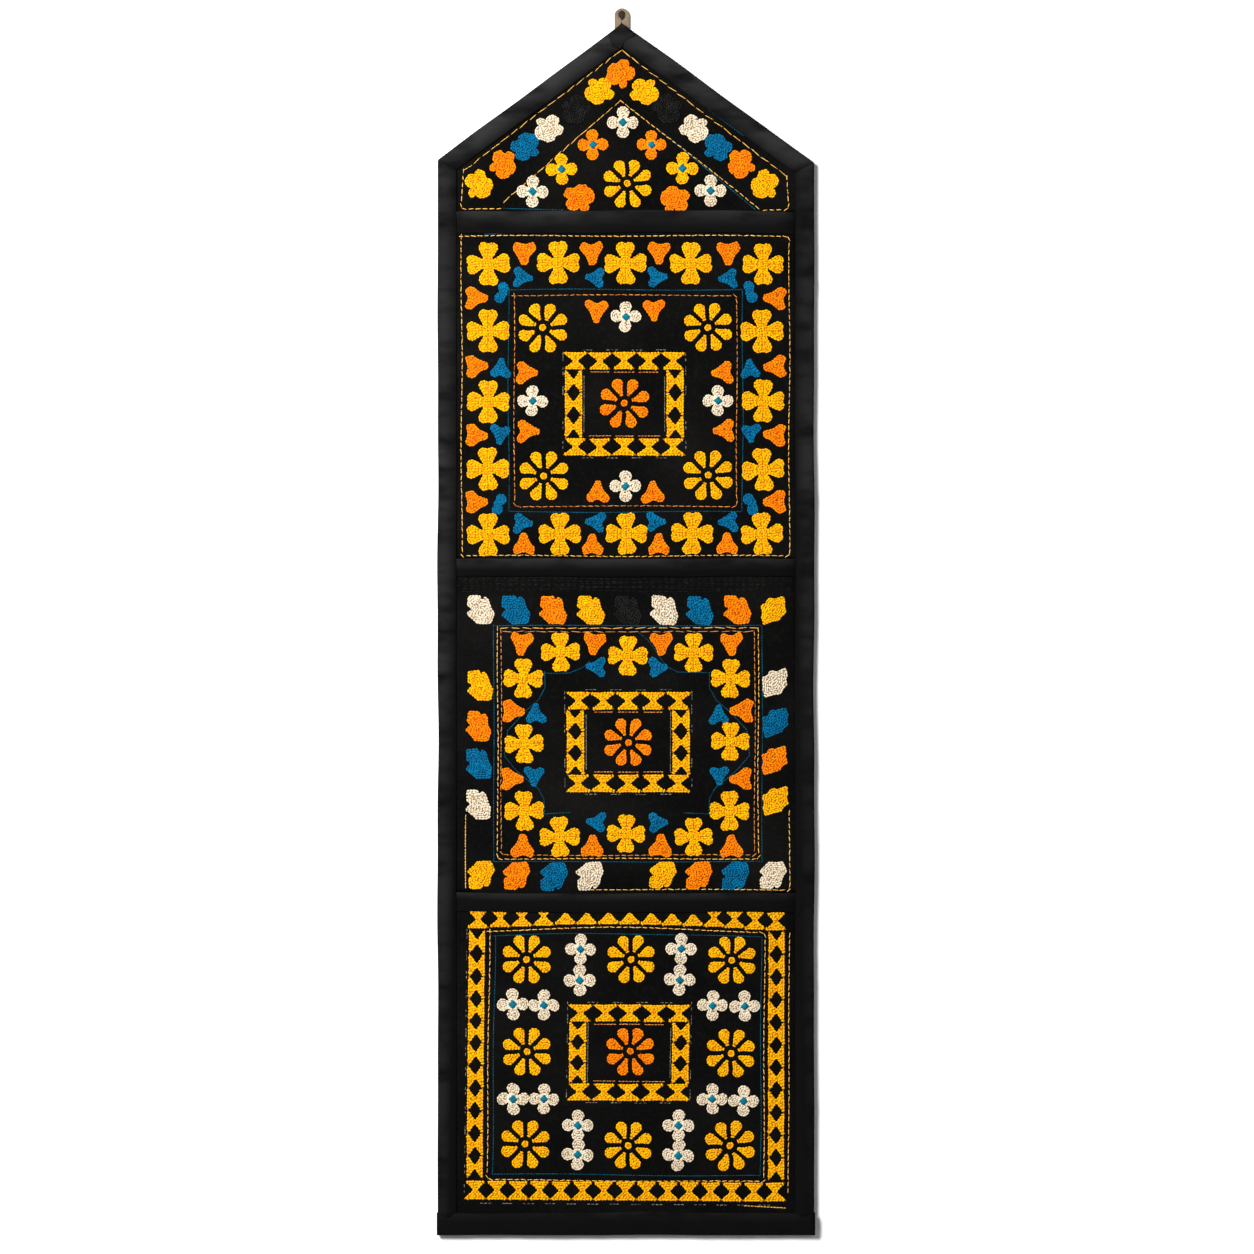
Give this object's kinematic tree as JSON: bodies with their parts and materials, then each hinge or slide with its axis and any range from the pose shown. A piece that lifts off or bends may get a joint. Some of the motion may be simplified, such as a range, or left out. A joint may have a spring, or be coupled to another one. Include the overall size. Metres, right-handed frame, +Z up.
{
  "type": "embroidered wall organizer",
  "caption": "Gabled black cloth wall hanging with embroidered peak and stacked letter pockets, bound in tape, hung by a tape loop at its apex.",
  "frame": {"origin": "centre of the eye of the hanging loop, above the apex, midway through the tape's thickness", "axes": "+Z up, +X to the right of a person facing the organizer, +Y into the wall it hangs on"},
  "size_m": [0.2512, 0.0186, 0.8152],
  "materials": {
    "black_cotton": "matt plain-woven cotton",
    "black_tape": "matt folded cotton tape",
    "tan_tape": "twill tape",
    "yellow_thread": "soft sheen of chain-stitched cotton",
    "orange_thread": "soft sheen of chain-stitched cotton",
    "blue_thread": "soft sheen of chain-stitched cotton",
    "cream_thread": "soft sheen of chain-stitched cotton",
    "teal_thread": "soft sheen of chain-stitched cotton",
    "black_thread": "soft sheen of chain-stitched cotton",
    "gold_thread": "twisted thread in running stitch"
  },
  "bodies": {
    "root": {"backing": "black_cotton", "peak_panel": "black_cotton", "pocket_top_front": "black_cotton", "pocket_top_mouth_tape": "black_tape", "pocket_middle_front": "black_cotton", "pocket_middle_mouth_tape": "black_tape", "pocket_bottom_front": "black_cotton", "pocket_bottom_mouth_tape": "black_tape", "binding_gable_left": "black_tape", "binding_left": "black_tape", "binding_right": "black_tape", "binding_gable_right": "black_tape", "binding_foot": "black_tape", "hanging_loop": "tan_tape"}
  },
  "joints": []
}
